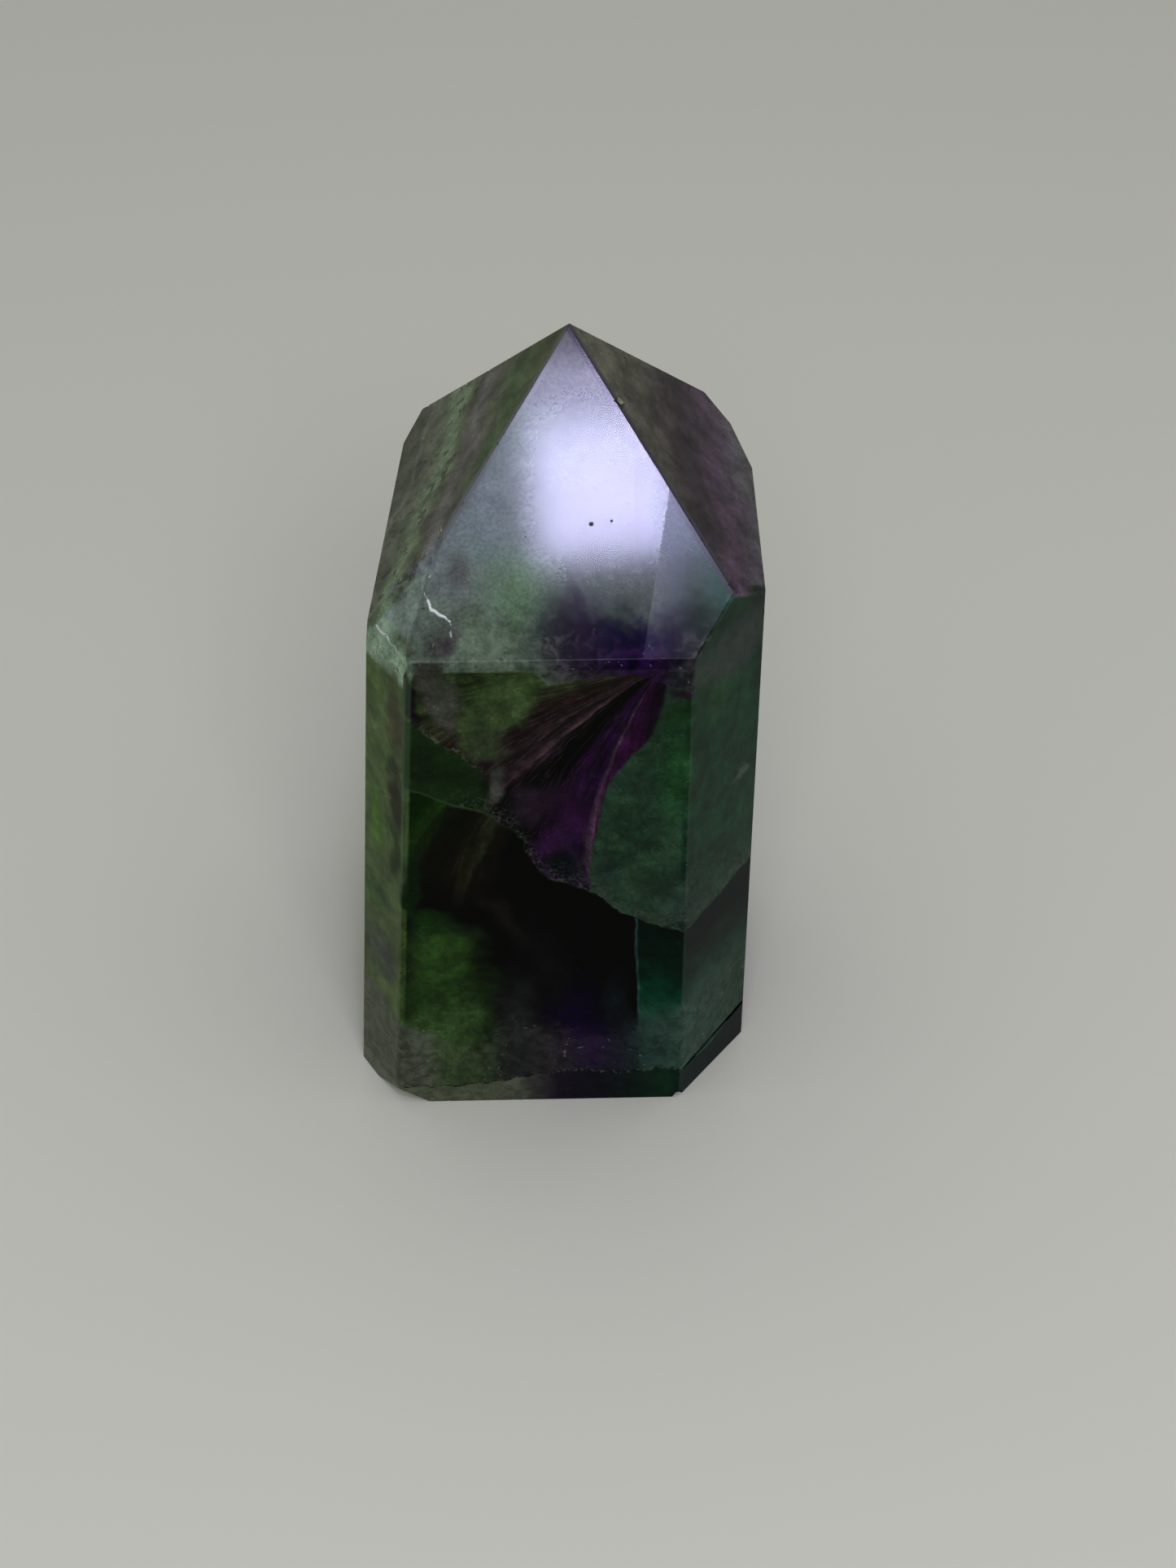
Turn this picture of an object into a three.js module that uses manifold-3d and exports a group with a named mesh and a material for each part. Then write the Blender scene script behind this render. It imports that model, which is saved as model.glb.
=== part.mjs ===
// A cut and polished fluorite point: a squarish bar of banded crystal, ground flat all round,
// standing on its sawn base and finished with four steep facets that meet at the tip.
// Millimetres, +Z up. The origin is the middle of the base, the front faces -Y, +X is to the right.
//
// Directions are compass turns about the upright axis: 0 is the front, 90 the right, 180 the back,
// -90 the left. The slope of a facet is its angle from the level: 0 faces up, 90 is upright, and
// above 90 it faces partly down.

import * as THREE from 'three';
import { mergeVertices } from 'three/addons/utils/BufferGeometryUtils.js';
import Module from 'manifold-3d';

// ---- Driving dimensions ----

const height = 75;
const tip = new THREE.Vector3(1.3, 5.4, height);
const tipRidge = 0.3; // the back facet passes this far behind the tip, so the tip is a short ridge

// The sides of the bar. Reach is how far a side's foot lies from the upright axis, and lean is how
// much it tips inwards going up, so the bar narrows towards the point.
const sides = [
  { turn: 2, reach: 17.7, lean: 1.4 }, // broad front
  { turn: -56, reach: 22.8, lean: 3.6 }, // cut corner, front left
  { turn: 52, reach: 20.5, lean: 1.4 }, // cut corner, front right
  { turn: -94, reach: 18.2, lean: 3.4 }, // left
  { turn: 92, reach: 18.8, lean: 0.8 }, // right
  { turn: -120, reach: 20.2, lean: 1.7 }, // cut corner, back left
  { turn: 116, reach: 21.1, lean: 1.8 }, // cut corner, back right, first flat
  { turn: 151, reach: 19.6, lean: 1.9 }, // cut corner, back right, second flat
  { turn: 180, reach: 18.2, lean: 1.8 }, // back
];

// The four facets of the point. The first three meet at the tip.
const frontFacet = { turn: 2, slope: 41.5 };
const leftFacet = { turn: -91, slope: 49 };
const rightFacet = { turn: 86, slope: 45 };
const backFacet = { turn: 179, slope: 58.5 };

// Small extra facets, each through one place on the crystal.
const smallFacets = [
  { turn: -59, slope: 47, at: [-9.0, -8.3, 63.3] }, // corner cut off the front left shoulder
  { turn: -104, slope: 70, at: [-14.5, 10.5, 57.4] }, // strip along the left shoulder
  { turn: -57, slope: 70, at: [-13.5, -13.8, 55.8] }, // rolled edge below the cut-off corner
  { turn: -31, slope: 128, at: [-14.1, -16.9, 0] }, // bevel under the front left foot
];

const grindingReach = 160; // larger than the crystal, so that one pass cuts right across it

// Fluorite cleaves along the faces of an octahedron, so every nick in an edge is a bite out of an
// octahedron, and all of them are turned alike. Size is the distance from its middle to a corner.
const cleavageTurn = new THREE.Euler(0.42, 0.31, 0.24);
const nicks = [
  { at: [5.7, 0.9, 70.5], size: 0.8 }, // front right ridge, high
  { at: [12.6, -7.1, 63.8], size: 0.7 }, // front right ridge, low
  { at: [15.5, -10.6, 60.2], size: 0.9 }, // blunt right end of the front facet
  { at: [-9.4, -8.7, 63.1], size: 0.8 }, // top of the cut-off corner
  { at: [-10.9, -8.9, 61.4], size: 1.0 }, // left edge of the cut-off corner
  { at: [-12.8, -10.3, 59.2], size: 1.1 },
  { at: [-15.6, -11.4, 55.8], size: 0.8 }, // left end of the cut-off corner
  { at: [-4.0, -16.6, 56.2], size: 0.6 }, // front shoulder
  { at: [0.6, -16.5, 56.2], size: 0.9 },
  { at: [3.1, -16.5, 56.3], size: 0.6 },
  { at: [8.6, -16.2, 56.2], size: 0.8 },
  { at: [11.7, -15.7, 56.0], size: 0.8 }, // right end of the front shoulder
  { at: [-13.2, 14.6, 59.2], size: 0.9 }, // back left shoulder
  { at: [-1.6, 16.6, 57.2], size: 1.0 }, // back shoulder
  { at: [9.4, 15.6, 58.4], size: 0.8 },
  { at: [19.0, -8.0, 0.3], size: 1.0 }, // right foot
  { at: [12.6, -17.2, 0.2], size: 0.8 }, // front right foot
  { at: [-19.0, -11.6, 0.2], size: 0.8 }, // left foot
  { at: [-16.6, 14.6, 0.2], size: 1.0 }, // back left foot
  { at: [11.8, 17.8, 0.2], size: 0.9 }, // back right foot
];

// Shallow flakes sprung out of a facet: each lies in the facet that faces turn and slope.
const flakes = [
  { at: [-9.6, -12.2, 60.1], turn: 2, slope: 41.5, reach: 2.4, depth: 0.35 }, // front, left end
  { at: [-13.4, -11.2, 58.2], turn: -59, slope: 47, reach: 1.9, depth: 0.3 }, // cut-off corner
  { at: [3.0, -7.2, 63.9], turn: 2, slope: 41.5, reach: 0.5, depth: 0.2 }, // pit in the front
  { at: [4.6, 17.4, 24.0], turn: 180, slope: 88.2, reach: 1.6, depth: 0.25 }, // low on the back
];

// The open end of the crack above the foot, on the front right corner: a thin lens of air.
const crack = { at: [16.6, -12.6, 4.2], reach: 5.6, gap: 0.5, rise: 7 };

// ---- Solids and cuts ----

const wasm = await Module();
wasm.setup();

function toSolid(geometry) {
  const bare = geometry.clone();
  bare.deleteAttribute('normal');
  bare.deleteAttribute('uv');
  const merged = mergeVertices(bare);
  const mesh = new wasm.Mesh({
    numProp: 3,
    vertProperties: new Float32Array(merged.attributes.position.array),
    triVerts: new Uint32Array(merged.index.array),
  });
  return new wasm.Manifold(mesh);
}

function toGeometry(solid) {
  const mesh = solid.getMesh();
  const geometry = new THREE.BufferGeometry();
  geometry.setAttribute('position', new THREE.BufferAttribute(mesh.vertProperties, 3));
  geometry.setIndex(new THREE.BufferAttribute(mesh.triVerts, 1));
  const flat = geometry.toNonIndexed();
  flat.computeVertexNormals();
  return flat;
}

// The outward direction of a facet.
function facing(turn, slope) {
  const around = THREE.MathUtils.degToRad(turn);
  const tilt = THREE.MathUtils.degToRad(slope);
  return new THREE.Vector3(
    Math.sin(around) * Math.sin(tilt),
    -Math.cos(around) * Math.sin(tilt),
    Math.cos(tilt),
  );
}

// Grinds a solid flat: takes off all that lies outside the facet through one place.
function grind(solid, { turn, slope }, place) {
  const waste = new THREE.BoxGeometry(grindingReach, grindingReach, grindingReach);
  waste.translate(0, 0, grindingReach / 2);
  const upright = new THREE.Vector3(0, 0, 1);
  waste.applyQuaternion(new THREE.Quaternion().setFromUnitVectors(upright, facing(turn, slope)));
  waste.translate(place.x, place.y, place.z);
  return solid.subtract(toSolid(waste));
}

// ---- The crystal ----

function roughBlock() {
  const block = new THREE.BoxGeometry(grindingReach / 2, grindingReach / 2, height + 5);
  block.translate(0, 0, (height + 5) / 2);
  return toSolid(block);
}

function grindSides(solid) {
  return sides.reduce((bar, { turn, reach, lean }) => {
    const foot = facing(turn, 90).multiplyScalar(reach);
    return grind(bar, { turn, slope: 90 - lean }, foot);
  }, solid);
}

function grindPoint(solid) {
  const frontAndSides = [frontFacet, leftFacet, rightFacet];
  const point = frontAndSides.reduce((bar, facet) => grind(bar, facet, tip), solid);
  const behindTip = tip.clone().add(new THREE.Vector3(0, tipRidge, 0));
  return grind(point, backFacet, behindTip);
}

function grindSmallFacets(solid) {
  return smallFacets.reduce(
    (crystal, facet) => grind(crystal, facet, new THREE.Vector3(...facet.at)),
    solid,
  );
}

function chipEdges(solid) {
  return nicks.reduce((crystal, { at, size }) => {
    const bite = new THREE.OctahedronGeometry(size);
    bite.applyQuaternion(new THREE.Quaternion().setFromEuler(cleavageTurn));
    bite.translate(...at);
    return crystal.subtract(toSolid(bite));
  }, solid);
}

function springFlakes(solid) {
  return flakes.reduce((crystal, { at, turn, slope, reach, depth }) => {
    const flake = new THREE.IcosahedronGeometry(1, 3);
    flake.scale(reach, reach, depth);
    const upright = new THREE.Vector3(0, 0, 1);
    flake.applyQuaternion(new THREE.Quaternion().setFromUnitVectors(upright, facing(turn, slope)));
    flake.translate(...at);
    return crystal.subtract(toSolid(flake));
  }, solid);
}

function openCrack(solid) {
  const air = new THREE.IcosahedronGeometry(1, 4);
  air.scale(crack.reach, crack.reach, crack.gap / 2);
  air.rotateX(THREE.MathUtils.degToRad(crack.rise));
  air.translate(...crack.at);
  return solid.subtract(toSolid(air));
}

function fluoritePoint() {
  const ground = grindSmallFacets(grindPoint(grindSides(roughBlock())));
  const crystal = openCrack(springFlakes(chipEdges(ground)));
  const fluorite = new THREE.MeshStandardMaterial({
    color: 0x3c4a3c,
    roughness: 0.12,
    metalness: 0,
  });
  const mesh = new THREE.Mesh(toGeometry(crystal), fluorite);
  mesh.name = 'fluorite_point';
  return mesh;
}

const group = new THREE.Group();
group.add(fluoritePoint());

export default group;
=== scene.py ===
import math
import random

import bpy
from mathutils import Euler, Matrix, Vector, noise


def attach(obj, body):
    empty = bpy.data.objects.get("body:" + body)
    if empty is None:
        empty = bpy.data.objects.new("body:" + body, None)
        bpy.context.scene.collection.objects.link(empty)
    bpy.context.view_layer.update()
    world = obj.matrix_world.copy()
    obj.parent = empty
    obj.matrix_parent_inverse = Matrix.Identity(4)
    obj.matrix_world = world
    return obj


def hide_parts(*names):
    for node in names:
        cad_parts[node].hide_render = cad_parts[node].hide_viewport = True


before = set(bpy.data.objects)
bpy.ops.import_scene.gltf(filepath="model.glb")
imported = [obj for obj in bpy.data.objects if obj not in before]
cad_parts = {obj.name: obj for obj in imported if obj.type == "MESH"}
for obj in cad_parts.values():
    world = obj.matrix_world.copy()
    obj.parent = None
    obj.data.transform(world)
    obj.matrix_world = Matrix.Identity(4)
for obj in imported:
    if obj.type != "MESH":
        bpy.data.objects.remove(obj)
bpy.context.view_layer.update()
mm = 0.001  # every length and place below is in millimetres


# ---- camera

cameraSetup = {
    "place": (2.9, -164.3, 185.4),
    "down": 44.05,  # degrees below the level
    "turn": 0.13,  # degrees to the right
    "roll": 0.58,
    "lens": 54.18,
    "sensor": 36,  # long side
}


def placeCamera(setup):
    bpy.ops.object.camera_add()
    camera = bpy.context.object
    camera.name = "camera"
    camera.data.lens = setup["lens"]
    camera.data.sensor_width = setup["sensor"]
    camera.data.clip_start = 0.01
    aim = Matrix.Rotation(math.radians(-setup["turn"]), 4, "Z")
    tip = Matrix.Rotation(math.radians(90 - setup["down"]), 4, "X")
    roll = Matrix.Rotation(math.radians(setup["roll"]), 4, "Z")
    camera.matrix_world = Matrix.Translation(Vector(setup["place"]) * mm) @ aim @ tip @ roll
    bpy.context.scene.camera = camera


placeCamera(cameraSetup)
print("camera placed")


# ---- helpers for modelling

def pickOnly(obj):
    bpy.ops.object.select_all(action="DESELECT")
    obj.select_set(True)
    bpy.context.view_layer.objects.active = obj


def joined(pieces):
    pickOnly(pieces[0])
    for piece in pieces:
        piece.select_set(True)
    bpy.ops.object.join()
    return bpy.context.object


def settled(piece):  # leaves the object at the origin, unturned and unscaled
    pickOnly(piece)
    bpy.ops.object.transform_apply(location=True, rotation=True, scale=True)


def carve(body, tools):
    pickOnly(body)
    for tool in tools:
        cut = body.modifiers.new("carve", "BOOLEAN")
        cut.operation = "DIFFERENCE"
        cut.solver = "MANIFOLD"
        cut.object = tool
        bpy.ops.object.modifier_apply(modifier=cut.name)
        bpy.data.objects.remove(tool)


def facing(turn, slope):
    # compass turn about the upright axis, 0 is the front (-Y) and 90 the right;
    # slope is the facet's angle from the level, 0 faces up and 90 is upright
    around, tilt = math.radians(turn), math.radians(slope)
    return Vector((math.sin(around) * math.sin(tilt), -math.cos(around) * math.sin(tilt), math.cos(tilt)))


# ---- crystal: ground facets, soft edges, nicks, flakes and the open crack

crystalShape = {
    "node": "fluorite_point",
    "smallestFacet": 5.0,  # square millimetres: anything smaller in the CAD node is a chip
    "shoulderStrip": ((-14.5, 10.5, 57.4), (-104, 70)),  # the one facet that is smaller
    "sameWay": 0.9995,  # two faces that point this alike are one facet with a chip between them
    "weld": 0.002,
    "flat": 0.5,  # degrees
    "block": 300,  # the cube that the facets are ground on
    "edge": 0.09,
    "edgeSteps": 2,
    "cleavage": (0.42, 0.31, 0.24),  # every nick is turned alike
    "nicks": [
        ((5.7, 0.9, 70.5), 0.8), ((12.6, -7.1, 63.8), 0.7), ((15.5, -10.6, 60.2), 0.9),
        ((-9.4, -8.7, 63.1), 0.45), ((-10.9, -8.9, 61.4), 0.4), ((-12.8, -10.3, 59.2), 0.4),
        ((-15.6, -11.4, 55.8), 0.6),
        ((-13.2, 14.6, 59.2), 0.6), ((-1.6, 16.6, 57.2), 0.6), ((9.4, 15.6, 58.4), 0.6),
        ((19.0, -8.0, 0.3), 1.0), ((12.6, -17.2, 0.2), 0.8), ((-19.0, -11.6, 0.2), 0.8),
        ((-16.6, 14.6, 0.2), 1.0), ((11.8, 17.8, 0.2), 0.9),
    ],
    "flakes": [  # place, the facet it sprang from, reach and depth
        ((-9.4, -12.6, 59.9), (2, 41.5), 1.5, 0.16), ((-10.6, -11.4, 60.5), (2, 41.5), 1.2, 0.2),
        ((-10.2, -9.6, 61.7), (-59, 47), 1.3, 0.2), ((-13.4, -11.2, 58.2), (-59, 47), 1.7, 0.2),
        ((-11.7, -13.4, 58.3), (-59, 47), 1.4, 0.22), ((-14.6, -12.4, 56.3), (-59, 47), 1.2, 0.2),
        ((3.3, -7.2, 63.7), (2, 41.5), 0.26, 0.09), ((2.2, -7.6, 63.4), (2, 41.5), 0.15, 0.06),
        ((5.0, -7.0, 63.9), (2, 41.5), 0.10, 0.04), ((4.6, 17.4, 24.0), (180, 88.2), 1.6, 0.25),
    ],
    "flakeRagged": 0.44,
    "flakeRipple": 2.2,
    "flakeSeed": 3,
    "crack": {"at": (16.6, -12.6, 4.2), "reach": 5.6, "gap": 0.5, "rise": 7},
}

edgeWear = {
    "seed": 7,
    "shortestEdge": 4.0,
    "everySoFar": 4.2,  # one small chip in about this much edge
    "size": (0.10, 0.32),
    "apart": 0.9,
    "smallerMore": 2.5,  # the higher, the more of the chips are small
    "clearOfEnds": 0.02,  # share of an edge
    "flatness": 0.55,
    "ragged": 0.25,
}


def mergedCopy(node, shape):
    pickOnly(node)
    bpy.ops.object.duplicate()
    copy = bpy.context.object
    bpy.ops.object.mode_set(mode="EDIT")
    bpy.ops.mesh.select_all(action="SELECT")
    bpy.ops.mesh.remove_doubles(threshold=shape["weld"] * mm)
    bpy.ops.mesh.dissolve_limited(angle_limit=math.radians(shape["flat"]))
    bpy.ops.object.mode_set(mode="OBJECT")
    return copy


def groundFacets(shape):  # place and direction of each facet of the CAD node
    copy = mergedCopy(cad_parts[shape["node"]], shape)
    facets = []
    for face in sorted(copy.data.polygons, key=lambda face: -face.area):
        known = any(face.normal.dot(outward) > shape["sameWay"] for _, outward in facets)
        if face.area > shape["smallestFacet"] * mm * mm and not known:
            facets.append((face.center.copy(), face.normal.copy()))
    bpy.data.objects.remove(copy)
    place, way = shape["shoulderStrip"]
    facets.append((Vector(place) * mm, facing(*way)))
    return facets


def groundBlock(facets, size):
    bpy.ops.mesh.primitive_cube_add(size=size * mm, location=(0, 0, 0))
    block = bpy.context.object
    bpy.ops.object.mode_set(mode="EDIT")
    for place, outward in facets:
        bpy.ops.mesh.select_all(action="SELECT")
        bpy.ops.mesh.bisect(plane_co=place, plane_no=outward, use_fill=True, clear_outer=True)
    bpy.ops.mesh.select_all(action="SELECT")
    bpy.ops.mesh.normals_make_consistent(inside=False)
    bpy.ops.object.mode_set(mode="OBJECT")
    return block


def longEdges(block, shortest):
    ends = [[block.data.vertices[i].co.copy() for i in edge.vertices] for edge in block.data.edges]
    return [pair for pair in ends if (pair[1] - pair[0]).length > shortest * mm]


def softenEdges(block, shape):
    pickOnly(block)
    bpy.ops.object.mode_set(mode="EDIT")
    bpy.ops.mesh.select_all(action="SELECT")
    bpy.ops.mesh.bevel(
        offset=shape["edge"] * mm, segments=shape["edgeSteps"], affect="EDGES", clamp_overlap=True)
    bpy.ops.object.mode_set(mode="OBJECT")


def cleavageNicks(shape):  # each bite has eight faces, the way fluorite cleaves
    turn = Euler(shape["cleavage"], "ZYX").to_matrix().to_euler("XYZ")
    bites = []
    for place, size in shape["nicks"]:
        bpy.ops.mesh.primitive_uv_sphere_add(
            segments=4, ring_count=2, radius=size * mm, location=Vector(place) * mm, rotation=turn)
        bites.append(bpy.context.object)
    return bites


def sprungFlakes(shape):
    dice = random.Random(shape["flakeSeed"])
    flakes = []
    for place, facet, reach, depth in shape["flakes"]:
        turn = facing(*facet).to_track_quat("Z", "Y").to_euler()
        bpy.ops.mesh.primitive_ico_sphere_add(
            subdivisions=4, radius=1, location=Vector(place) * mm, rotation=turn,
            scale=Vector((reach, reach, depth)) * mm)
        flake = bpy.context.object
        shift = Vector([dice.uniform(0, 90) for _ in range(3)])
        for corner in flake.data.vertices:
            corner.co *= 1 + shape["flakeRagged"] * noise.noise(corner.co * shape["flakeRipple"] + shift)
        flakes.append(flake)
    return flakes


def openCrack(crack):
    bpy.ops.mesh.primitive_ico_sphere_add(
        subdivisions=5, radius=1, location=Vector(crack["at"]) * mm,
        rotation=(math.radians(crack["rise"]), 0, 0),
        scale=Vector((crack["reach"], crack["reach"], crack["gap"] / 2)) * mm)
    return [bpy.context.object]


def wornPlaces(edges, wear, dice):
    places = []
    near, far = wear["clearOfEnds"], 1 - wear["clearOfEnds"]
    for start, end in edges:
        for _ in range(round((end - start).length / mm / wear["everySoFar"])):
            place = start.lerp(end, dice.uniform(near, far))
            if all((place - other).length > wear["apart"] * mm for other in places):
                places.append(place)
    return places


def wornChips(edges, wear):
    dice = random.Random(wear["seed"])
    low, high = wear["size"]
    chips = []
    for place in wornPlaces(edges, wear, dice):
        size = low + (high - low) * dice.random() ** wear["smallerMore"]
        turn = [dice.uniform(0, math.tau) for _ in range(3)]
        bpy.ops.mesh.primitive_ico_sphere_add(
            subdivisions=1, radius=size * mm, location=place, rotation=turn, scale=(1, 1, wear["flatness"]))
        chip = bpy.context.object
        for corner in chip.data.vertices:
            corner.co *= 1 + wear["ragged"] * dice.uniform(-1, 1)
        chips.append(chip)
    print(len(chips), "worn chips")
    return [joined(chips)]


def makeCrystal(shape, wear):
    block = groundBlock(groundFacets(shape), shape["block"])
    edges = longEdges(block, wear["shortestEdge"])
    softenEdges(block, shape)
    carve(block, cleavageNicks(shape))
    carve(block, sprungFlakes(shape))
    carve(block, openCrack(shape["crack"]))
    carve(block, wornChips(edges, wear))
    settled(block)
    block.name = "fluorite_crystal"
    return block


crystal = makeCrystal(crystalShape, edgeWear)
print("crystal", len(crystal.data.polygons), "faces")


# ---- shader maths

class Wire:
    # wraps one output socket; arithmetic on it adds Math nodes, put() adds any other node
    def __init__(self, tree, socket=None):
        self.tree = tree
        self.socket = socket

    def put(self, kind, settings=None, values=None, output=0):
        node = self.tree.nodes.new(kind)
        for name, setting in (settings or {}).items():
            if name == "stops":
                fillRamp(node.color_ramp, setting)
            elif name == "points":
                fillCurve(node.mapping, setting)
            else:
                setattr(node, name, setting)
        for name, value in (values or {}).items():
            if isinstance(value, Wire):
                self.tree.links.new(value.socket, node.inputs[name])
            else:
                node.inputs[name].default_value = value
        return Wire(self.tree, node.outputs[output])

    def maths(self, operation, *values):
        return self.put("ShaderNodeMath", {"operation": operation}, dict(enumerate(values)))

    def __add__(self, other):
        return self.maths("ADD", self, other)

    def __sub__(self, other):
        return self.maths("SUBTRACT", self, other)

    def __rsub__(self, other):
        return self.maths("SUBTRACT", other, self)

    def __mul__(self, other):
        return self.maths("MULTIPLY", self, other)

    def __truediv__(self, other):
        return self.maths("DIVIDE", self, other)

    __radd__ = __add__
    __rmul__ = __mul__

    def size(self):
        return self.maths("ABSOLUTE", self)

    def least(self, other):
        return self.maths("MINIMUM", self, other)

    def most(self, other):
        return self.maths("MAXIMUM", self, other)

    def fade(self, none, full):  # 0 at none, 1 at full, smooth between
        ends = {"Value": self, "From Min": none, "From Max": full}
        return self.put("ShaderNodeMapRange", {"interpolation_type": "SMOOTHSTEP"}, ends)

    def vector(self, operation, *values, output=0):
        return self.put("ShaderNodeVectorMath", {"operation": operation}, dict(enumerate(values)), output)

    def scaled(self, amount):
        return self.put("ShaderNodeVectorMath", {"operation": "SCALE"}, {0: self, "Scale": amount})

    def parts(self):
        return [self.put("ShaderNodeSeparateXYZ", None, {0: self}, axis) for axis in range(3)]

    def noise(self, scale, detail, roughness=0.55, distortion=0.0, colour=False):
        values = {"Scale": scale, "Detail": detail, "Roughness": roughness, "Distortion": distortion}
        return self.put("ShaderNodeTexNoise", None, {"Vector": self, **values}, 1 if colour else 0)

    def strands(self, width):  # thin lines where a noise passes its middle
        return (self - 0.5).size().fade(width, 0)

    def tint(self, other, amount):  # this colour, turned to another by amount
        values = {"Factor": amount, 6: self, 7: other if isinstance(other, Wire) else (*other, 1)}
        return self.put("ShaderNodeMix", {"data_type": "RGBA"}, values, 2)


def fillRamp(ramp, stops):
    while len(ramp.elements) > 1:
        ramp.elements.remove(ramp.elements[-1])
    ramp.elements[0].position = stops[0][0]
    ramp.elements[0].color = (*stops[0][1], 1)
    for position, colour in stops[1:]:
        ramp.elements.new(position).color = (*colour, 1)


def fillCurve(mapping, points):
    curve = mapping.curves[0]
    curve.points[0].location = points[0]
    curve.points[-1].location = points[-1]
    for point in points[1:-1]:
        curve.points.new(*point)
    mapping.update()


# ---- crystal finish: banded fluorite, seen into through polished facets

facetWays = {  # turn and slope of the facets that the finish tells apart
    "front": (2, 88.6), "frontLeft": (-56, 86.4), "frontRight": (52, 88.6), "pointFront": (2, 41.5),
    "pointLeft": (-91, 49), "pointRight": (86, 45), "corner": (-59, 47), "rolled": (-57, 70),
}

lineSpan = {"left": -20, "width": 40, "height": 80}  # x and height that the lines below lie inside

fractureLines = {  # x and height of the places where old fractures reach the front
    "middle": [
        (-20, 43.5), (-12.2, 42.1), (-9.7, 40.8), (-7.4, 39.7), (-5.3, 38.9), (-4.3, 37.8), (-3.1, 36.7),
        (-2.2, 34.4), (-0.8, 31.6), (2.2, 29.8), (4.2, 28.7), (5.4, 27.3), (7.7, 25.7), (12.1, 23.7),
        (13.8, 23.8), (18.1, 25.1), (20, 25.6),
    ],
    "shoulder": [
        (-20, 56.5), (-3.8, 56.2), (-2.0, 55.7), (-0.2, 53.9), (1.2, 54.1), (4.3, 54.5), (6.6, 54.8),
        (8.0, 54.4), (9.6, 53.6), (11.9, 52.9), (13.4, 51.9), (15.6, 50.4), (18.0, 51.6), (20, 52.5),
    ],
    "foot": [
        (-20, 2.4), (-14.0, 2.3), (-6.6, 2.7), (-2.4, 3.7), (1.3, 4.3), (8.2, 4.1), (11.9, 4.5),
        (12.6, 4.1), (13.8, 3.7), (15.5, 3.3), (17.1, 4.1), (18.6, 5.1), (20, 5.6),
    ],
    "footTop": [
        (-20, 14.0), (-18.0, 13.2), (-16.3, 12.7), (-14.4, 11.6), (-12.2, 10.5), (-10.6, 9.9), (-8.8, 8.4),
        (-6.9, 7.6), (-4.0, 11.0), (0.0, 9.6), (4.0, 8.0), (8.0, 10.0), (12.0, 11.5), (16.0, 12.5),
        (20, 13.5),
    ],
}

wedge = {  # an old fracture with a pale wedge above it and green below
    "line": [
        (-20, 51.0), (-12.6, 50.6), (-11.7, 49.4), (-10.6, 48.5), (-9.5, 47.5), (-7.9, 46.2), (-6.9, 45.2),
        (-5.9, 44.3), (-5.3, 42.6), (-4.9, 40), (20, 38),
    ],
    "x": (-4.6, -6.4),  # from none to full
    "above": (0.26, 0.29, 0.23),
    "below": (0.04, 0.10, 0.03),
}

veilEdge = [  # height and x where the veil right of the violet bands begins
    (0, 3.0), (26, 3.0), (30.8, 3.4), (34.2, 3.6), (37.6, 4.0), (39.6, 4.3), (41.8, 4.7), (43.4, 5.4),
    (45.6, 6.8), (47.8, 8.4), (50.2, 9.2), (53.5, 9.6), (80, 9.8),
]

fan = {  # colour bands that spread down and left from the front right shoulder
    "focus": (9.25, 55.5),  # x and height
    "curl": (0.2, 0.01),  # degrees that a band bends for each millimetre down it, and for its square
    "stretch": (0.5, 0.1, 0.05),  # how its noises run: for each degree across and each millimetre along
    "fray": 7,  # degrees
    "sway": 9,
    "wisps": (0.22, 0.15, 0.19),
    "hairs": (0.24, 0.17, 0.22),
    "veil": (0.09, 0.18, 0.12),
    "above": [  # degrees from straight down, colour
        (-20, (0.05, 0.01, 0.06)), (8, (0.08, 0.01, 0.10)), (15, (0.13, 0.01, 0.15)),
        (22.4, (0.15, 0.01, 0.17)), (23.6, (0.24, 0.13, 0.25)), (24.8, (0.24, 0.13, 0.25)),
        (26.0, (0.09, 0.01, 0.13)), (29, (0.05, 0.00, 0.12)), (33, (0.11, 0.01, 0.16)),
        (36.5, (0.05, 0.00, 0.08)), (39, (0.00, 0.00, 0.00)), (49.6, (0.00, 0.00, 0.00)),
        (51.2, (0.12, 0.04, 0.09)), (52.4, (0.25, 0.15, 0.21)), (53.8, (0.13, 0.07, 0.10)),
        (56, (0.06, 0.02, 0.04)), (58.5, (0.16, 0.11, 0.11)), (60.5, (0.07, 0.03, 0.04)),
        (66, (0.08, 0.03, 0.04)), (73, (0.11, 0.07, 0.05)), (82, (0.14, 0.19, 0.08)),
        (110, (0.19, 0.26, 0.12)),
    ],
    "belowFrom": (26, 33),  # height, from none to full
    # below the middle fracture: nearly black, partly the crystal's deep colour, partly painted shade under
    # the fracture
    "below": [
        (-20, (0.00, 0.00, 0.00)), (43, (0.00, 0.00, 0.00)), (47.4, (0.03, 0.02, 0.01)),
        (49.4, (0.09, 0.10, 0.05)), (51.5, (0.03, 0.02, 0.01)), (55, (0.01, 0.01, 0.00)),
        (59, (0.02, 0.03, 0.01)), (61.8, (0.05, 0.14, 0.02)), (64.5, (0.01, 0.08, 0.00)),
        (110, (0.01, 0.08, 0.00)),
    ],
}

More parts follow.
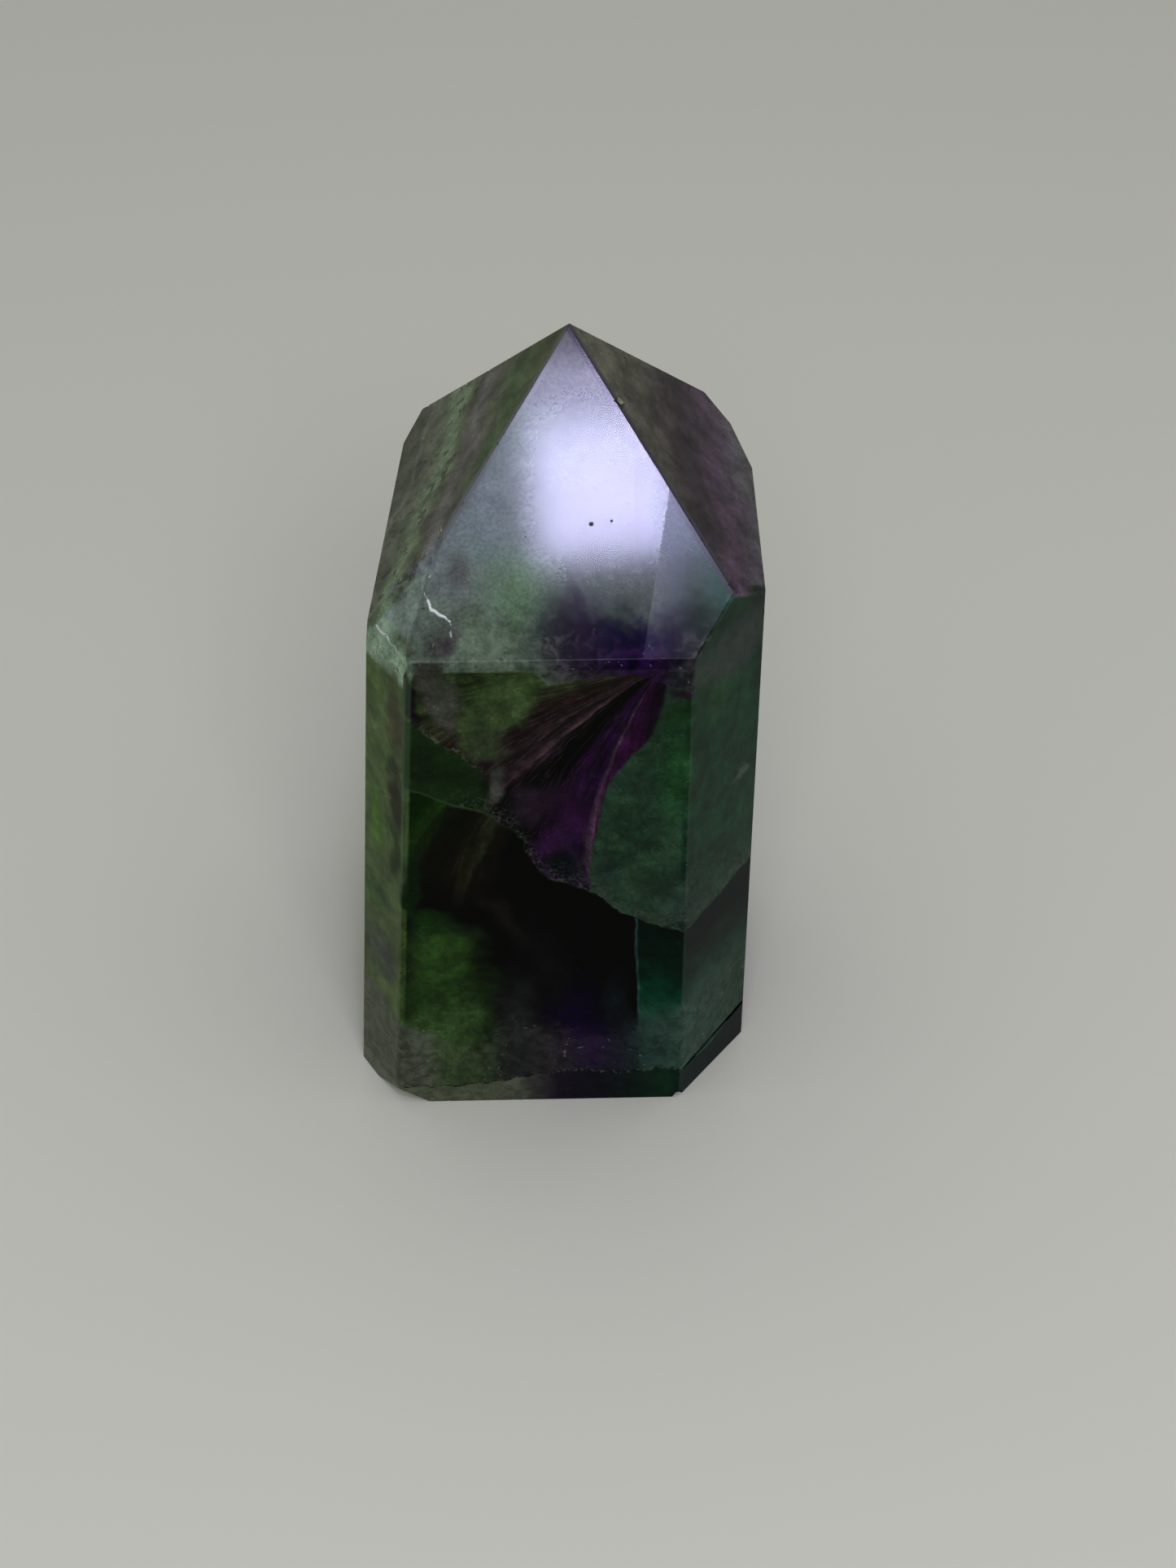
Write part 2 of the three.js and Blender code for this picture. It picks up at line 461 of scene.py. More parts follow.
leftStripes = {  # left facet of the point: colours by distance from the line between two places
    "line": ((-5.8, 9.6, 66.7), (-9.6, -4.6, 62.6)),
    "bands": [
        (-9, (0.28, 0.33, 0.20)), (-6.5, (0.27, 0.36, 0.20)), (-5, (0.25, 0.37, 0.20)),
        (-3.5, (0.30, 0.36, 0.24)), (-1.8, (0.36, 0.36, 0.31)), (-0.5, (0.44, 0.44, 0.43)),
        (0.6, (0.38, 0.36, 0.34)), (1.6, (0.34, 0.38, 0.28)), (2.6, (0.46, 0.58, 0.40)),
        (4.0, (0.50, 0.64, 0.45)), (5.2, (0.40, 0.47, 0.34)), (6.4, (0.38, 0.42, 0.33)),
        (8.1, (0.33, 0.36, 0.28)), (8.6, (0.46, 0.49, 0.42)), (9.3, (0.30, 0.33, 0.26)),
        (12, (0.26, 0.28, 0.22)),
    ],
}

acrossX = {  # colours that change with x: on two facets of the point, in the frost and along the foot
    "pointRight": [
        (2, (0.40, 0.41, 0.32)), (4.2, (0.41, 0.41, 0.33)), (6.7, (0.34, 0.33, 0.28)),
        (8.4, (0.30, 0.29, 0.25)), (10, (0.23, 0.20, 0.20)), (11.5, (0.17, 0.14, 0.17)),
        (12.7, (0.18, 0.14, 0.18)), (13.5, (0.26, 0.19, 0.26)), (14.8, (0.30, 0.22, 0.32)),
        (16, (0.31, 0.25, 0.33)), (17, (0.35, 0.32, 0.37)), (19, (0.34, 0.34, 0.34)),
    ],
    "pointFrontHigh": [
        (-12, (0.52, 0.58, 0.62)), (-5.4, (0.50, 0.58, 0.65)), (-3.2, (0.34, 0.42, 0.41)),
        (-1, (0.22, 0.28, 0.26)), (2, (0.16, 0.19, 0.20)), (7, (0.16, 0.18, 0.21)),
        (10, (0.26, 0.32, 0.42)), (14, (0.34, 0.44, 0.56)),
    ],
    "pointFront": [
        (-12, (0.44, 0.50, 0.49)), (-7.6, (0.47, 0.53, 0.55)), (-5, (0.42, 0.55, 0.46)),
        (-2.8, (0.37, 0.55, 0.37)), (-0.6, (0.32, 0.42, 0.34)), (1.5, (0.24, 0.28, 0.26)),
        (6, (0.26, 0.31, 0.29)), (9, (0.26, 0.30, 0.30)), (10.5, (0.20, 0.24, 0.27)),
        (12, (0.16, 0.23, 0.21)), (14, (0.15, 0.29, 0.25)),
    ],
    "pointFrontLow": [
        (-12, (0.38, 0.46, 0.42)), (-6, (0.42, 0.52, 0.43)), (-3, (0.34, 0.44, 0.34)),
        (-1.4, (0.22, 0.29, 0.24)), (0.6, (0.14, 0.15, 0.18)), (2.9, (0.09, 0.06, 0.14)),
        (6, (0.00, 0.00, 0.10)), (8.4, (0.00, 0.00, 0.11)), (9.8, (0.03, 0.01, 0.09)),
        (10.8, (0.04, 0.05, 0.07)), (12.2, (0.04, 0.08, 0.05)), (14, (0.12, 0.24, 0.19)),
    ],
    "frost": [
        (-14, (0.34, 0.42, 0.35)), (-4, (0.34, 0.42, 0.35)), (-1.5, (0.24, 0.29, 0.26)),
        (1, (0.20, 0.18, 0.22)), (3, (0.14, 0.09, 0.18)), (6.5, (0.08, 0.02, 0.16)),
        (9.3, (0.10, 0.04, 0.15)), (11, (0.12, 0.11, 0.15)), (14, (0.20, 0.19, 0.22)),
        (18, (0.17, 0.18, 0.19)),
    ],
    "footHaze": [
        (-18.5, (0.30, 0.33, 0.27)), (-15, (0.28, 0.31, 0.25)), (-12.5, (0.35, 0.38, 0.32)),
        (-10, (0.24, 0.35, 0.18)), (-7, (0.20, 0.29, 0.16)), (-4, (0.12, 0.13, 0.13)),
        (0, (0.15, 0.14, 0.16)), (4, (0.11, 0.06, 0.17)), (7, (0.08, 0.10, 0.14)), (9, (0.11, 0.20, 0.18)),
        (13, (0.16, 0.28, 0.24)), (19, (0.10, 0.19, 0.13)),
    ],
    "underFoot": [
        (-19, (0.34, 0.38, 0.30)), (-8, (0.34, 0.39, 0.28)), (-3.6, (0.33, 0.36, 0.29)),
        (0.5, (0.07, 0.05, 0.10)), (4.6, (0.04, 0.04, 0.07)), (8, (0.03, 0.07, 0.06)),
        (11.5, (0.03, 0.13, 0.07)), (13, (0.00, 0.05, 0.04)), (19, (0.00, 0.02, 0.02)),
    ],
}

pointFrontHeights = {  # where its colours change, from none to full
    "low": (60.0, 58.2),
    "high": (60.4, 63.6),
    "tip": (68, 74),
    "tipColour": (0.38, 0.38, 0.45),
}

rightLow = [  # front right facet below the middle fracture, by height
    (0, (0.00, 0.02, 0.02)), (5, (0.06, 0.16, 0.10)), (10.5, (0.10, 0.22, 0.15)),
    (13.7, (0.05, 0.16, 0.10)), (17, (0.02, 0.07, 0.05)), (20.5, (0.00, 0.01, 0.01)),
    (26, (0.00, 0.02, 0.02)),
]

hairline = {  # a healed crack in the lower front; the body right of it is teal
    "x": (8.62, -0.032),  # at the base, and change for each millimetre up
    "top": 25.3,
    "colour": (0.10, 0.22, 0.21),
    "right": [
        (0, (0.00, 0.10, 0.06)), (9, (0.12, 0.22, 0.19)), (12, (0.08, 0.21, 0.16)),
        (15, (0.00, 0.16, 0.09)), (18, (0.00, 0.09, 0.05)), (21.5, (0.00, 0.04, 0.02)),
        (26, (0.00, 0.02, 0.02)), (30, (0.00, 0.02, 0.02)),
    ],
}

deepBands = {  # what the rest of the crystal shows: tilted growth bands
    "way": (0.42, 0.30, 0.86),
    "every": 34.0,
    "bend": 0.22,
    "bands": [
        (0.00, (0.10, 0.20, 0.10)), (0.12, (0.26, 0.40, 0.17)), (0.22, (0.16, 0.13, 0.15)),
        (0.30, (0.05, 0.02, 0.07)), (0.40, (0.16, 0.05, 0.19)), (0.47, (0.20, 0.17, 0.20)),
        (0.56, (0.11, 0.27, 0.16)), (0.68, (0.17, 0.30, 0.22)), (0.78, (0.08, 0.12, 0.09)),
        (0.86, (0.20, 0.30, 0.13)), (0.94, (0.14, 0.08, 0.15)), (1.00, (0.10, 0.20, 0.10)),
    ],
}

# A zone is a soft-edged body of colour inside the crystal: facet, side of the middle fracture (or
# None), place, half extent in x, y and z, degrees about Y, how much of it is full colour, colour.
zones = [
    # front, left of the bands and above the middle fracture
    ("front", "above", (-4.9, -17, 51.0), (3.4, 6, 7.2), 30, 0.4, (0.19, 0.27, 0.13)),
    ("front", "above", (-5.2, -17, 47.2), (2.7, 6, 2.6), 30, 0.2, (0.15, 0.19, 0.12)),
    ("front", "above", (-9.1, -17, 53.2), (1.8, 6, 6.2), -4, 0.5, (0.17, 0.17, 0.15)),
    ("front", "above", (-9.3, -17, 51.8), (1.2, 6, 3.0), -8, 0.1, (0.20, 0.21, 0.18)),
    ("front", "above", (-11.5, -17, 52.8), (0.8, 6, 4.6), 0, 0.4, (0.03, 0.01, 0.05)),
    ("front", "above", (-6.4, -17, 41.8), (1.0, 6, 2.2), 10, 0.3, (0.03, 0.04, 0.03)),
    ("front", "above", (-4.7, -17, 42.2), (1.3, 6, 3.2), 16, 0.1, (0.32, 0.32, 0.31)),
    ("front", "above", (-2.4, -17, 39.9), (2.2, 6, 3.6), 10, 0.2, (0.09, 0.05, 0.10)),
    ("front", "above", (-0.6, -17, 40.0), (2.4, 6, 4.2), 40, 0.0, (0.08, 0.03, 0.09)),
    ("front", "above", (1.5, -17, 38.6), (2.2, 6, 5.2), 8, 0.0, (0.11, 0.02, 0.14)),
    ("front", "above", (-0.1, -17, 35.3), (1.8, 6, 2.4), 20, 0.0, (0.12, 0.02, 0.16)),
    ("front", "above", (1.6, -17, 32.8), (2.0, 6, 2.4), -30, 0.3, (0.01, 0.01, 0.03)),
    # front, the veil
    ("front", "above", (10.9, -16, 43.8), (2.5, 6, 8.0), 3, 0.2, (0.07, 0.22, 0.10)),
    ("front", "above", (11.2, -16, 50.4), (1.9, 6, 2.4), 0, 0.1, (0.04, 0.14, 0.04)),
    ("front", "above", (11.3, -16, 52.6), (2.4, 6, 1.1), 0, 0.2, (0.07, 0.03, 0.08)),
    ("front", "above", (5.4, -16, 31.6), (2.2, 6, 3.6), 8, 0.2, (0.06, 0.11, 0.10)),
    ("front", "above", (11.8, -16, 27.6), (3.4, 6, 3.6), 0, 0.1, (0.14, 0.23, 0.19)),
    # front, below the middle fracture
    ("front", "below", (-6.3, -17, 34.4), (0.7, 6, 2.6), 26, 0.0, (0.11, 0.13, 0.07)),
    ("front", "below", (-4.3, -17, 26.0), (2.0, 6, 5.0), -24, 0.1, (0.04, 0.035, 0.03)),
    ("front", "below", (-12.3, -17, 30), (1.4, 6, 7), 0, 0.3, (0.01, 0.07, 0.01)),
    ("front", "below", (-10.8, -17, 25.4), (2.7, 6, 2.6), 0, 0.2, (0.03, 0.12, 0.02)),
    ("front", "below", (-10.8, -17, 15.0), (6.4, 6, 12.6), -4, 0.35, (0.08, 0.18, 0.05)),
    ("front", "below", (-10.2, -17, 11.2), (6.2, 6, 5.4), -16, 0.2, (0.17, 0.30, 0.12)),
    ("front", "below", (-10.6, -17, 20.8), (4.0, 6, 5.0), 14, 0.0, (0.14, 0.29, 0.08)),
    ("front", "below", (-3.4, -17, 13.0), (3.4, 6, 9.0), -8, 0.0, (0.07, 0.08, 0.08)),
    ("front", "below", (2.6, -17, 12.0), (5.2, 6, 7.6), -14, 0.0, (0.025, 0.00, 0.09)),
    ("front", "below", (4.2, -17, 8.2), (3.4, 6, 4.6), -20, 0.0, (0.09, 0.03, 0.17)),
    ("front", "below", (6.6, -17, 13.0), (2.0, 6, 6.6), 0, 0.1, (0.02, 0.04, 0.05)),
    ("front", "below", (-1.0, -17, 20.0), (3.6, 6, 9.0), -12, 0.0, (0.022, 0.018, 0.026)),
    # cut corner, front left
    ("frontLeft", None, (-13.3, -16, 50.0), (1.5, 3, 7.0), -3, 0.4, (0.16, 0.16, 0.08)),
    ("frontLeft", None, (-13.6, -16, 41.0), (1.7, 3, 6.4), -3, 0.5, (0.04, 0.05, 0.01)),
    ("frontLeft", None, (-16.2, -12.7, 35.4), (1.9, 3, 6.0), -3, 0.3, (0.21, 0.42, 0.07)),
    ("frontLeft", None, (-14.2, -16, 33.5), (1.4, 3, 5.5), -3, 0.3, (0.04, 0.10, 0.01)),
    ("frontLeft", None, (-16.2, -13.9, 26.0), (3.0, 3, 3.6), 0, 0.3, (0.11, 0.24, 0.06)),
    ("frontLeft", None, (-16.4, -14.2, 18.4), (3.4, 4, 4.6), 0, 0.5, (0.15, 0.20, 0.14)),
    # cut corner, front right
    ("frontRight", "above", (14.6, -13.4, 49.4), (1.8, 4, 3.0), 0, 0.2, (0.06, 0.16, 0.08)),
    ("frontRight", "above", (17.2, -10.2, 37.4), (0.8, 1.6, 1.0), 0, 0.2, (0.17, 0.22, 0.19)),
    ("frontRight", "above", (18.2, -9.2, 57.6), (2.4, 4, 3.2), 0, 0.1, (0.05, 0.10, 0.06)),
    # front facet of the point
    ("pointFront", None, (-7.9, -10.6, 61.4), (2.2, 3, 2.4), 0, 0.1, (0.36, 0.36, 0.38)),
    ("pointFront", None, (-8.4, -14.4, 57.8), (1.6, 3, 1.4), 0, 0.1, (0.27, 0.25, 0.27)),
    # cut corner of the point
    ("corner", None, (-13.6, -9.0, 59.2), (2.4, 3, 2.6), 0, 0.1, (0.60, 0.70, 0.71)),
    ("corner", None, (-11.0, -9.8, 61.4), (2.2, 2.4, 2.0), 0, 0.1, (0.57, 0.63, 0.70)),
    ("rolled", None, (-12.0, -15.2, 56.9), (2.6, 3, 1.2), 0, 0.1, (0.26, 0.30, 0.18)),
]

grounds = {  # what a facet shows where no zone lies
    "frontLeft": (0.22, 0.32, 0.12), "frontRight": (0.04, 0.13, 0.08), "corner": (0.57, 0.69, 0.63),
    "rolled": (0.60, 0.76, 0.62),
}

glints = [  # painted highlights: pale, metallic lines where the lips of small cracks catch the light: ends, half width, colour
    ((-10.52, -11.88, 59.93), (-9.82, -13.06, 58.98), 0.16, (0.90, 0.95, 0.97)),
    ((-9.82, -13.06, 58.98), (-8.65, -13.77, 58.36), 0.18, (0.90, 0.95, 0.97)),
    ((-8.65, -13.77, 58.36), (-8.30, -14.68, 57.54), 0.10, (0.60, 0.66, 0.66)),
    ((-8.30, -14.68, 57.54), (-7.94, -15.54, 56.77), 0.10, (0.50, 0.60, 0.52)),
    ((-14.82, -11.60, 56.25), (-13.60, -13.60, 56.05), 0.20, (0.86, 0.93, 0.95)),
    ((-13.60, -13.60, 56.05), (-12.17, -15.92, 55.80), 0.15, (0.60, 0.72, 0.62)),
    ((-12.17, -15.92, 55.80), (-10.90, -16.40, 55.90), 0.12, (0.34, 0.44, 0.34)),
    ((-10.40, -16.20, 56.20), (-9.60, -15.30, 57.00), 0.10, (0.34, 0.42, 0.32)),
    ((-12.04, -5.63, 59.88), (-12.70, -6.70, 59.14), 0.09, (0.72, 0.80, 0.72)),
    ((-12.90, -7.20, 58.90), (-13.39, -8.53, 58.39), 0.07, (0.60, 0.70, 0.60)),
    # these four lines paint one rainbow glint on a tiny crack
    ((-9.30, -7.00, 63.20), (-9.10, -7.60, 63.30), 0.14, (1.00, 0.72, 0.30)),
    ((-9.55, -7.30, 62.90), (-9.30, -7.95, 62.95), 0.13, (0.30, 0.85, 0.60)),
    ((-9.80, -7.60, 62.60), (-9.50, -8.20, 62.60), 0.13, (0.35, 0.45, 1.00)),
    ((-9.30, -8.30, 62.60), (-9.10, -8.70, 62.50), 0.10, (1.00, 0.35, 0.60)),
    ((10.60, -16.90, 39.40), (10.90, -16.90, 39.50), 0.13, (0.70, 0.80, 0.74)),
    ((10.90, -16.90, 37.30), (11.60, -16.90, 37.60), 0.14, (0.70, 0.80, 0.74)),
    ((11.50, -16.90, 44.60), (12.00, -16.90, 44.40), 0.10, (0.60, 0.72, 0.66)),
    ((-12.40, -17.90, 10.60), (-12.00, -17.90, 10.50), 0.10, (0.70, 0.75, 0.66)),
]

crystalFinish = {
    "ior": 1.434,
    "specular": 0.4,
    "transmission": 0.6,
    "absorb": (0.35, 0.6, 0.35),
    "absorbDensity": 80,  # for each metre
    "drift": [(0.13, 2.4), (0.6, 0.9)],  # how colour bodies wander: scale for each millimetre, reach
    "waver": (0.4, 0.3),  # how bands and stripes wander
    "ripple": (0.75, 0.45),  # how fractures wander
    "facetDepth": 0.5,  # a facet's own colours end this far from its plane
    "rough": 0.095,
    "roughFrost": 0.30,
    "roughSatin": 0.17,
    "roughEdge": 0.95,
    "satinEdge": {"x": 8.4, "at": 59.6, "lean": 0.23},  # x at a height, and change for each millimetre up
}

textures = {  # noises: scale, detail, roughness, distortion
    "cloud": (0.45, 4.0, 0.66, 0.0),
    "grain": (3.2, 1.0, 0.6, 0.0),
    "lumps": (0.95, 3.0, 0.6, 0.5),
    "veins": (0.5, 4.0, 0.72, 0.8),
    "streaks": (1.3, 2.0, 0.65, 0.3),
    "specks": (2.1, 1.0, 0.5, 0.0),
    "flecks": (0.7, 2.0, 0.68, 0.0),
    "beads": (2.0, 3.0, 0.6, 0.0),
    "growth": (0.55, 3.0, 0.62, 0.0),
    "patches": (0.5, 3.0, 0.6, 0.0),
    "threads": (1.2, 4.0, 0.66, 0.0),
    "sway": (0.22, 3.0, 0.6, 0.0),
    "hairs": (0.9, 3.0, 0.7, 0.4),
}

mottling = {  # least brightness, and what the cloud and the grain add to it
    "plain": (0.55, 0.7, 0.2),
    "calm": (0.82, 0.18, 0.2),  # upper front facet of the point
    "calmFrom": (57.5, 60.5),
}

layerColours = {
    "veins": (0.17, 0.20, 0.18),
    # pale haze of the middle fracture: partly its own milky colour, partly a painted sheen
    "veil": (0.16, 0.21, 0.18),
    "rimFrost": (0.25, 0.27, 0.25),
    "rim": (0.17, 0.26, 0.17),
    "shoulder": (0.19, 0.19, 0.21),
    "footRim": (0.32, 0.36, 0.30),
    # a pale green line painted on the front's left edge: a painted highlight
    "frontEdgeHighlight": (0.26, 0.38, 0.24),
    "pointLeftEdge": (0.42, 0.44, 0.48),
    "pointRightEdge": (0.25, 0.22, 0.30),
    "specks": (0.52, 0.58, 0.50),
    "flecks": (0.15, 0.18, 0.13),
}


def warped(place, scale, reach):
    drift = place.vector("SUBTRACT", place.noise(scale, 1.0, colour=True), (0.5, 0.5, 0.5))
    return place.vector("MULTIPLY_ADD", drift, (2 * reach, 2 * reach, 2 * reach), place)


def facetMasks(place, facets, ways, depth):
    masks = {}
    for name, way in ways.items():
        spot, outward = max(facets, key=lambda facet: facet[1].dot(facing(*way)))
        distance = place.vector("DOT_PRODUCT", place, outward, output=1) - outward.dot(spot) / mm
        masks[name] = distance.size().fade(depth, depth / 2)
    return masks


def heightOver(place, points):  # how far a place lies above a line given as x and height
    x, _, z = place.parts()
    left, width, height = lineSpan["left"], lineSpan["width"], lineSpan["height"]
    line = [((px - left) / width, pz / height) for px, pz in points]
    return z - x.put("ShaderNodeFloatCurve", {"points": line}, {"Value": (x - left) / width}) * height


def rightOf(place, points):  # how far a place lies to the right of a line given as height and x
    x, _, z = place.parts()
    left, width, height = lineSpan["left"], lineSpan["width"], lineSpan["height"]
    line = [(pz / height, (px - left) / width) for pz, px in points]
    return x - left - z.put("ShaderNodeFloatCurve", {"points": line}, {"Value": z / height}) * width


def rampOf(value, bands):
    low, high = bands[0][0], bands[-1][0]
    stops = [((where - low) / (high - low), colour) for where, colour in bands]
    return value.put("ShaderNodeValToRGB", {"stops": stops}, {"Fac": (value - low) / (high - low)})


def lineDistance(place, start, end, outward):  # signed, across a line that lies in a facet
    along = (Vector(end) - Vector(start)).normalized()
    across = along.cross(outward).normalized()
    return place.vector("DOT_PRODUCT", place, across, output=1) - across.dot(Vector(start))


def nearLine(place, start, end, width):  # 1 on the line between two places, 0 a width away from it
    along = Vector(end) - Vector(start)
    offset = place.vector("SUBTRACT", place, start)
    share = place.vector("DOT_PRODUCT", offset, along / along.length_squared, output=1).most(0).least(1)
    nearest = place.put("ShaderNodeVectorMath", {"operation": "SCALE"}, {0: along, "Scale": share})
    return place.vector("DISTANCE", offset, nearest, output=1).fade(width, width * 0.4)


def zoneMask(place, at, size, turn, heart):
    # no Mapping node: its vectors would all wait on the shader's stack, which has few places
    if turn:
        values = {"Vector": place, "Center": at, "Angle": math.radians(turn)}
        place = place.put("ShaderNodeVectorRotate", {"rotation_type": "Y_AXIS", "invert": True}, values)
    shrink = [1 / half for half in size]
    shift = [-middle / half for middle, half in zip(at, size)]
    near = place.vector("MULTIPLY_ADD", place, shrink, shift)
    return near.vector("LENGTH", near, output=1).fade(1, heart)


class Surface:
    # what the layers of the finish share: places in millimetres, masks and common noises
    def __init__(self, tree, facets, finish):
        place = Wire(tree).put("ShaderNodeTexCoord", output=3)
        self.place = place.vector("MULTIPLY", place, (1 / mm, 1 / mm, 1 / mm))
        self.near = warped(self.place, *finish["waver"])
        self.x, self.y, self.z = self.place.parts()
        self.on = facetMasks(self.place, facets, facetWays, finish["facetDepth"])
        self.upright = self.on["front"] + self.on["frontRight"] + self.on["frontLeft"]
        self.crisp = warped(self.place, *finish["ripple"])
        self.over = {name: heightOver(self.crisp, line) for name, line in fractureLines.items()}
        self.side = {"above": self.over["middle"].fade(-0.08, 0.08)}
        self.side["below"] = 1 - self.side["above"]
        self.cloud = self.place.noise(*textures["cloud"])
        self.grain = self.place.noise(*textures["grain"])
        self.lumps = self.place.noise(*textures["lumps"])


# colour bodies

def growthBands(soft):
    way = Vector(deepBands["way"]).normalized()
    along = soft.vector("DOT_PRODUCT", soft, way, output=1) / deepBands["every"]
    along = along + soft.noise(*textures["growth"]) * deepBands["bend"]
    return rampOf(along.maths("FRACT", along), deepBands["bands"])


def frontColour(near, side):
    x, _, z = near.parts()
    aside, down = fan["focus"][0] - x, fan["focus"][1] - z
    reach = near.maths("SQRT", aside * aside + down * down)
    turn = near.maths("ARCTAN2", aside, down) * (180 / math.pi)
    turn = turn + reach * (reach * fan["curl"][1] + fan["curl"][0])
    across, along, inward = fan["stretch"]
    around = near.put("ShaderNodeCombineXYZ", None, {0: turn * across, 1: reach * along, 2: reach * inward})
    threads = around.noise(*textures["threads"])
    sway = around.noise(*textures["sway"])
    frayed = turn + (threads - 0.5) * fan["fray"] + (sway - 0.5) * fan["sway"] * reach.fade(3, 14)
    patches = near.noise(*textures["patches"]).fade(0.3, 0.7)
    above = rampOf(frayed, fan["above"])
    above = above.scaled((0.35 + threads.fade(0.28, 0.72) * 0.85) * (patches * 0.7 + 0.6))
    wisps = threads.fade(0.52, 0.66) * turn.fade(44, 50) * turn.fade(78, 62)
    wisps = wisps.most(sway.fade(0.5, 0.62) * 0.25)
    above = above.tint(fan["wisps"], wisps * 0.6 * turn.fade(26, 34))
    hairs = around.noise(*textures["hairs"]).strands(0.03)
    above = above.tint(fan["hairs"], hairs * turn.fade(10, 20) * turn.fade(88, 70) * 0.28)
    above = above.tint(fan["veil"], rightOf(near, veilEdge).fade(-0.1, 0.35))
    # below the middle fracture the bands are dark and fade to black lower down: partly deep colour, partly
    # painted shade where the fracture screens the light from above
    below = rampOf(frayed, fan["below"]).scaled(z.fade(*fan["belowFrom"]))
    return below.tint(above, side["above"])


def pointFrontColour(near, x, z):
    steady, _, height = near.parts()
    high = rampOf(steady, acrossX["pointFrontHigh"])
    glassy = rampOf(steady, acrossX["pointFront"]).tint(high, height.fade(*pointFrontHeights["high"]))
    glassy = glassy.tint(pointFrontHeights["tipColour"], height.fade(*pointFrontHeights["tip"]))
    return glassy.tint(rampOf(x, acrossX["pointFrontLow"]), z.fade(*pointFrontHeights["low"]))


def withWedge(colour, near, mask):
    x, _, _ = near.parts()
    over = heightOver(near, wedge["line"])
    ends = x.fade(*wedge["x"]) * mask
    beads = near.noise(*textures["beads"]).fade(0.5, 0.66)
    colour = colour.tint(wedge["below"], over.fade(0.1, -0.2) * ends)
    return colour.tint(wedge["above"], over.fade(-0.4, 0) * over.fade(1.2, 0.1) * beads * ends * 0.8)


def withHairline(colour, near, mask):
    x, _, z = near.parts()
    right = x - z * hairline["x"][1] - hairline["x"][0]
    reaches = z.fade(hairline["top"] + 1, hairline["top"])
    colour = colour.tint(rampOf(z, hairline["right"]), right.fade(-0.1, 0.1) * reaches * mask)
    crack = right.size().fade(0.2, 0.06) * reaches * z.fade(10, 14) * mask
    return colour.tint(hairline["colour"], crack * 0.8)


def bodyColour(here):
    near, on, side = here.near, here.on, here.side
    soft = here.place
    for scale, reach in crystalFinish["drift"]:
        soft = warped(soft, scale, reach)
    x, y, z = soft.parts()
    colour = growthBands(soft)
    colour = colour.tint(frontColour(near, side), on["front"])
    for name, shade in grounds.items():
        colour = colour.tint(shade, on[name])
    stripes = lineDistance(soft, *leftStripes["line"], facing(*facetWays["pointLeft"]))
    colour = colour.tint(rampOf(stripes, leftStripes["bands"]), on["pointLeft"])
    colour = colour.tint(rampOf(x + y * 0.1, acrossX["pointRight"]), on["pointRight"])
    colour = colour.tint(pointFrontColour(near, x, z), on["pointFront"])
    colour = colour.tint(rampOf(z, rightLow), on["frontRight"] * side["below"])
    for facet, half, at, size, turn, heart, shade in zones:
        mask = zoneMask(soft, at, size, turn, heart) * on[facet]
        colour = colour.tint(shade, mask * side[half] if half else mask)
    colour = withWedge(colour, near, on["front"] * side["above"])
    colour = withHairline(colour, near, on["front"] * side["below"])
    flecks = here.place.noise(*textures["flecks"]).fade(0.57, 0.66)
    flecks = flecks * stripes.fade(0.2, 1.2) * stripes.fade(9.5, 8)
    return colour.tint(layerColours["flecks"], flecks * on["pointLeft"] * 0.7)


# mottling, then what old fractures do at the surface, lines along edges (on the front's left edge a painted
# highlight) and painted glints

def mottled(colour, here):
    cloud, grain = here.cloud.fade(0.25, 0.75), here.grain.fade(0.3, 0.7)
    kinds = (mottling["plain"], mottling["calm"])
    plain, calm = [least + cloud * fromCloud + grain * fromGrain for least, fromCloud, fromGrain in kinds]
    calmed = here.z.fade(*mottling["calmFrom"]) * here.on["pointFront"]
    return colour.scaled(plain + (calm - plain) * calmed)


def hazeMasks(here):  # where old fractures cloud the surface
    x, on, over = here.x, here.on, here.over
    uneven = here.lumps - 0.5
    veil = here.side["above"] * over["middle"].fade(9, 0) * here.upright * x.fade(-5, -3)
    frost = over["shoulder"].fade(-0.1, 0.15) * on["front"] * x.fade(-4, 0)
    overEdge = ((58.3 - here.z) * 0.5 + uneven * 4).fade(0, 1.4) * on["pointFront"] * x.fade(-7, -4)
    underTop = uneven * 3 * x.fade(-14, -9) - over["footTop"]
    depth = x.fade(-10, -6) * -2.6 - 0.3
    foot = over["foot"].fade(-0.1, 0.2) * underTop.fade(depth, 0.6) * here.upright
    return {"veil": veil, "frost": frost.most(overEdge), "foot": foot}


# the pale haze above the middle fracture: partly the fracture's own milky colour, partly a painted sheen of
# the light that the fracture reflects
def withVeil(colour, here, veil):
    x, y, z = here.x, here.y, here.z
    veins = here.place.noise(*textures["veins"]).strands(0.035)
    leaning = {0: x * 0.9 + z * 0.38, 1: z * 0.12 - x * 0.05, 2: y * 0.2}
    slanted = here.place.put("ShaderNodeCombineXYZ", None, leaning)
    streaks = slanted.noise(*textures["streaks"]).strands(0.05) * z.fade(46, 34) * x.fade(1, 3)
    veins = veins.most(streaks) * here.cloud.fade(0.35, 0.6)
    colour = colour.scaled(1 + veins * (here.upright * 0.25 + 0.1))
    colour = colour.tint(layerColours["veins"], veins * veil * 0.3)
    return colour.tint(layerColours["veil"], veil * here.lumps.fade(0.42, 0.7) * x.fade(1, 4) * 0.55)


